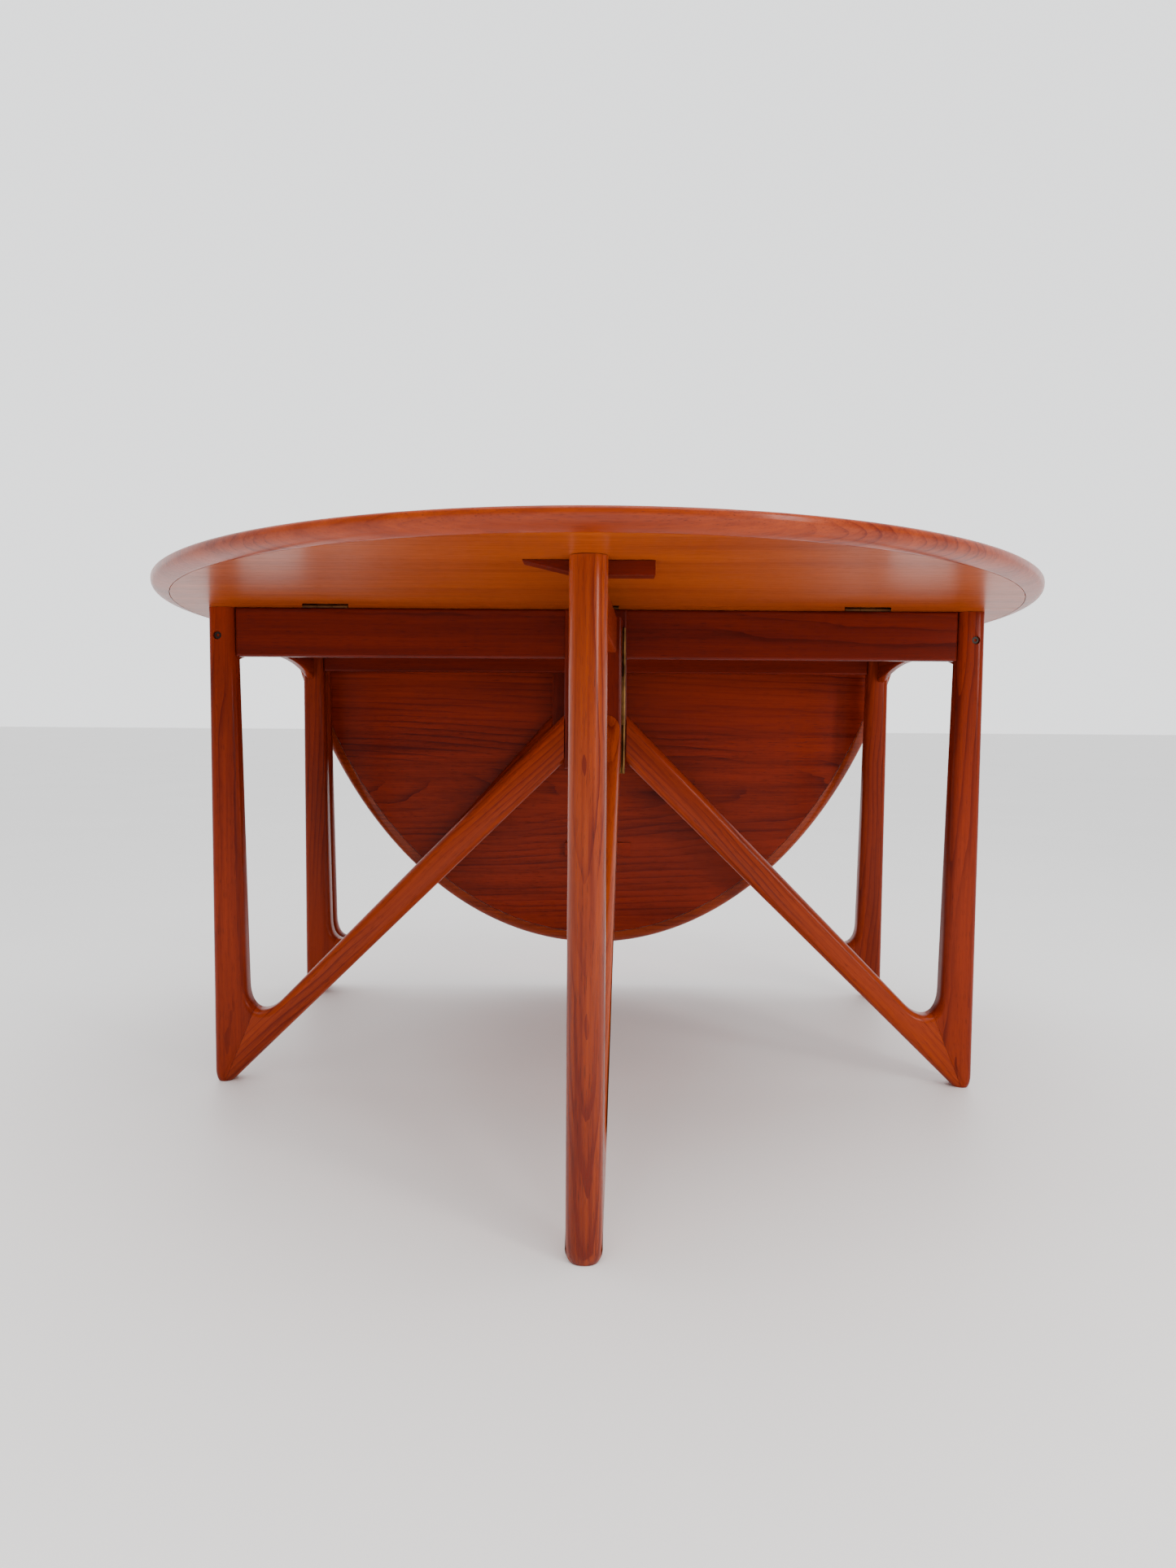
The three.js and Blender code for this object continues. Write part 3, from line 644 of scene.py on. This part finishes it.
NEAR_SEAM = MIDDLE_Y - SEAM_Y
FAR_SEAM = MIDDLE_Y + SEAM_Y
whole_band = edge_band()
leaf_band = whole_band.copy()
saw(leaf_band, (0, NEAR_SEAM - SEAM_GAP / 2, 0), (0, 1, 0))
hanging_band = whole_band.copy()
saw(hanging_band, (0, FAR_SEAM + SEAM_GAP / 2, 0), (0, -1, 0))
saw(whole_band, (0, NEAR_SEAM + SEAM_GAP / 2, 0), (0, -1, 0))
saw(whole_band, (0, FAR_SEAM - SEAM_GAP / 2, 0), (0, 1, 0))
left_band = whole_band.copy()
saw(left_band, (0, 0, 0), (1, 0, 0))
right_band = whole_band
saw(right_band, (0, 0, 0), (-1, 0, 0))
leaf_joint = next(j for j in frame["record"]["behaviour"]["joints"] if j["name"] == "back_leaf_lift")
HINGE_LINE = Vector(leaf_joint["pos_m"])
drop = (Matrix.Translation(HINGE_LINE) @ Matrix.Rotation(-math.pi / 2, 4, "X")
        @ Matrix.Translation(-HINGE_LINE))
bmesh.ops.transform(hanging_band, matrix=drop, verts=hanging_band.verts[:])

band_teak = teak("teak_leaf_band", ALONG_X, (0.3, 1.2, 0.02), *EDGE_TONES, askew=0.02)
side_teak = teak("teak_side_band", ALONG_Y, (0.1, 0.6, 0.03), *EDGE_TONES, askew=0.02)
hang_teak = teak("teak_hanging_band", ALONG_X, (0.5, -0.6, 0.2), *EDGE_TONES, askew=0.02)
to_piece("edge_band_front_leaf", leaf_band, band_teak, "table", "teak_edge", "front_leaf_edge")
to_piece("edge_band_left", left_band, side_teak, "table", "teak_edge", "center_edge_left")
to_piece("edge_band_right", right_band, side_teak, "table", "teak_edge", "center_edge_right")
to_piece("edge_band_back_leaf", hanging_band, hang_teak, "back_leaf", "teak_edge",
         "back_leaf_edge")

# %% [markdown]
# The bolts that tie the legs to the end rails have round heads with a hexagonal socket. The socket
# is a hexagon whose sides are divided until it has as many points as the head's rim: then the two
# loops are bridged into the face of the head, and each is drawn inwards by an extrusion.

# %% Bolts
HEAD_RADIUS = 0.0049
SOCKET_RADIUS = 0.0026
SOCKET_DEPTH = 0.002
HEAD_HEIGHT = 0.003


def socket_loop(shape):
    bmesh.ops.create_circle(shape, cap_ends=False, radius=SOCKET_RADIUS, segments=6)
    bmesh.ops.subdivide_edges(shape, edges=shape.edges[:], cuts=3)
    return shape.edges[:]


def draw_in(shape, edges, depth):
    made = bmesh.ops.extrude_edge_only(shape, edges=edges)
    verts = [part for part in made["geom"] if isinstance(part, bmesh.types.BMVert)]
    bmesh.ops.translate(shape, verts=verts, vec=(0, 0, -depth))
    loop = [part for part in made["geom"] if isinstance(part, bmesh.types.BMEdge)
            and all(v in verts for v in part.verts)]
    bmesh.ops.holes_fill(shape, edges=loop, sides=0)


def bolt_head():
    shape = bmesh.new()
    socket = socket_loop(shape)
    rim_verts = bmesh.ops.create_circle(
        shape, cap_ends=False, radius=HEAD_RADIUS, segments=24)["verts"]
    rim = [edge for edge in shape.edges if all(v in rim_verts for v in edge.verts)]
    bmesh.ops.bridge_loops(shape, edges=socket + rim)
    draw_in(shape, socket, SOCKET_DEPTH)
    draw_in(shape, rim, HEAD_HEIGHT)
    return shape


for side, sign in (("front", 1), ("back", -1)):
    for hand in ("left", "right"):
        low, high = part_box(f"{side}_{hand}_bolt")
        shape = bolt_head()
        turn = Matrix.Rotation(math.radians(90) * sign, 3, "X")
        bmesh.ops.rotate(shape, cent=(0, 0, 0), matrix=turn, verts=shape.verts[:])
        face_y = low[1] if sign > 0 else high[1]
        shift = ((low[0] + high[0]) / 2, face_y, (low[2] + high[2]) / 2)
        bmesh.ops.translate(shape, vec=shift, verts=shape.verts[:])
        to_piece(f"bolt_{side}_{hand}", shape, STEEL, "table", "steel", f"{side}_{hand}_bolt")

# %% [markdown]
# The boards, rails, posts, runners and hinges already have their true shape in the frame. They keep
# it, and only get a finish: each board its own stretch of the log, with the grain running along the
# table. The underside of the hanging leaf carries painted shade, darker than its top face, which has
# the tones of the other boards; the rails, posts, stiles and corner blocks carry painted shade too.

# %% Finishes for the frame's own pieces
def dress(node, material):
    mesh = nodes[node].data
    mesh.materials.clear()
    mesh.materials.append(material)


HANGING_SIDES = [corner[1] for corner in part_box("back_leaf_board")]
BOARD_HEARTS = {
    "center_board": (0.2, -MIDDLE_Y - 0.1, -0.66),
    "front_leaf_board": (0.9, 0.95, -0.64),
    "back_leaf_board": (0.1, -0.40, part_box("back_leaf_board")[1][1] + 0.05),
}
dress("center_board", teak("teak_center", ALONG_X, BOARD_HEARTS["center_board"], *BOARD_TONES))
dress("front_leaf_board", teak(
    "teak_front_leaf", ALONG_X, BOARD_HEARTS["front_leaf_board"], *BOARD_TONES, askew=0.01,
    flame=0.5))
# The underside of the hanging leaf carries painted shade; its top face has the board tones.
hanging_teak = teak(
    "teak_back_leaf", HANGING_FLAMED, BOARD_HEARTS["back_leaf_board"], *LEAF_SHADED_TONES, rings=85,
    askew=0.09, flame=0.85, top_tones=BOARD_TONES[:2], top_from=sum(HANGING_SIDES) / 2)
dress("back_leaf_board", hanging_teak)

for side, y in (("front", -0.2), ("back", 0.3)):
    # Rails, posts, stiles, runners and corner blocks carry painted shade in their tones.
    rail_teak = teak(f"teak_{side}_rail", ALONG_X, (y, y, -0.62), *RAIL_SHADED_TONES)
    post_teak = teak(f"teak_{side}_post", UPRIGHT, (y, y, 0.02), *RAIL_SHADED_TONES)
    gate_rail_teak = teak(
        f"teak_{side}_gate_rail", ALONG_Y if side == "front" else ALONG_X, (y, y, 0.1),
        *FRAME_SHADED_TONES)
    dress(f"{side}_rail", rail_teak)
    dress(f"{side}_leaf_runner", rail_teak if side == "front" else hanging_teak)
    dress(f"{side}_center_post", post_teak)
    dress(f"{side}_gate_stile", post_teak)
    dress(f"{side}_gate_rail", gate_rail_teak)
    for hand in ("left", "right"):
        dress(f"{side}_{hand}_corner_block", rail_teak)
    for number in (1, 2, 3):
        dress(f"{side}_leaf_hinge_{number}_fixed", DARK_BRASS)
        dress(f"{side}_leaf_hinge_{number}_moving", DARK_BRASS)
    dress(f"{side}_gate_hinge_fixed", BRASS)
    dress(f"{side}_gate_hinge_moving", BRASS)
print("dressed the frame's own pieces")

# %% [markdown]
# The floor is a wide pale sheet, slightly uneven in tone. It is part of the stage and not of the
# table.

# %% Floor
floor_shape = bmesh.new()
bmesh.ops.create_grid(floor_shape, x_segments=1, y_segments=1, size=40)
floor_mesh = bpy.data.meshes.new("floor")
floor_shape.to_mesh(floor_mesh)
floor_shape.free()
floor = bpy.data.objects.new("floor", floor_mesh)
bpy.context.scene.collection.objects.link(floor)
floor_shader = Shader("pale_floor")
floor_place = floor_shader.node("ShaderNodeTexCoord", output=3)
floor_tone = mix_colors(
    floor_shader, noise(floor_shader, floor_place, (1.5, 1.5, 1.5), 4),
    (0.95, 0.935, 0.925, 1), (0.88, 0.87, 0.86, 1))
floor_mesh.materials.append(floor_shader.finish(Base_Color=floor_tone, Roughness=0.5))
print("floor", floor.name)

# %% [markdown]
# Soft light comes from a wide area lamp over the floor in front of the table, whose bounce off the
# floor lights the underside of the raised leaf, and from a tall narrow one to the right. The
# surround is pale overhead and behind the table, and dimmer in front of it and at its sides: oiled
# wood mirrors what it faces, and light from all round would lay a grey veil over the teak.

# %% Light
BRIGHT_SIDE = 2.0
DIM_SIDE = 0.35
SKY_SHARE = 0.9
PALE_RANGE = (-0.1, 0.9)


def lamp(name, place, target, size, power, color):
    data = bpy.data.lights.new(name, "AREA")
    data.shape = "RECTANGLE"
    data.size, data.size_y = size
    data.energy = power
    data.color = color
    light = bpy.data.objects.new(name, data)
    light.location = place
    aim = Vector(target) - Vector(place)
    light.rotation_euler = aim.to_track_quat("-Z", "Y").to_euler()
    bpy.context.scene.collection.objects.link(light)
    print(name, power, "W")


lamp("ceiling", (0.2, -1.9, 2.9), (0.1, -0.9, 0.0), (3.0, 2.2), 80, (1.0, 0.99, 0.97))
lamp("key", (2.2, -2.3, 1.3), (0, -0.3, 0.6), (0.5, 1.4), 32, (1.0, 0.97, 0.93))
world = bpy.data.worlds.new("pale_surround")
bpy.context.scene.world = world
world.use_nodes = True


class Surround(Shader):
    """The sums on sockets work on the surround's nodes too."""

    def __init__(self, made):
        self.tree = made.node_tree
        self.main = self.tree.nodes["Background"]


surround = Surround(world)
facing = surround.node("ShaderNodeTexCoord")
heading = surround.node("ShaderNodeSeparateXYZ", inputs={0: facing})
backward, upward = heading.other(1), heading.other(2)
pale = smooth_step(surround, backward + upward * SKY_SHARE, *PALE_RANGE)
surround.feed(surround.main, {
    "Color": (0.93, 0.94, 0.95, 1), "Strength": pale * (BRIGHT_SIDE - DIM_SIDE) + DIM_SIDE})
print("surround from", DIM_SIDE, "to", BRIGHT_SIDE)

# %% [markdown]
# The camera stands low in front of the table, just under the height of the top, so the underside of
# the raised leaf shows. It looks slightly down and leans by less than half a degree.

# %% Camera
CAMERA_PLACE = Vector((-0.0018, -1.8057 + MIDDLE_Y, 0.5455))
PITCH, YAW, ROLL = 0.0634, -0.0053, 0.0071
forward = Vector((math.sin(YAW) * math.cos(PITCH), math.cos(YAW) * math.cos(PITCH), -math.sin(PITCH)))
level = Vector((math.cos(YAW), -math.sin(YAW), 0))
above = level.cross(forward)
right = math.cos(ROLL) * level + math.sin(ROLL) * above
up = math.cos(ROLL) * above - math.sin(ROLL) * level
camera_data = bpy.data.cameras.new("camera")
camera_data.sensor_fit = "AUTO"
camera_data.sensor_width = 36
camera_data.lens = 24.26
camera = bpy.data.objects.new("camera", camera_data)
bpy.context.scene.collection.objects.link(camera)
camera.matrix_world = Matrix.Translation(CAMERA_PLACE) @ Matrix(
    (right, up, -forward)).transposed().to_4x4()
bpy.context.scene.camera = camera
print("camera at", [round(part, 3) for part in CAMERA_PLACE])

# %% Finish
bpy.context.view_layer.update()
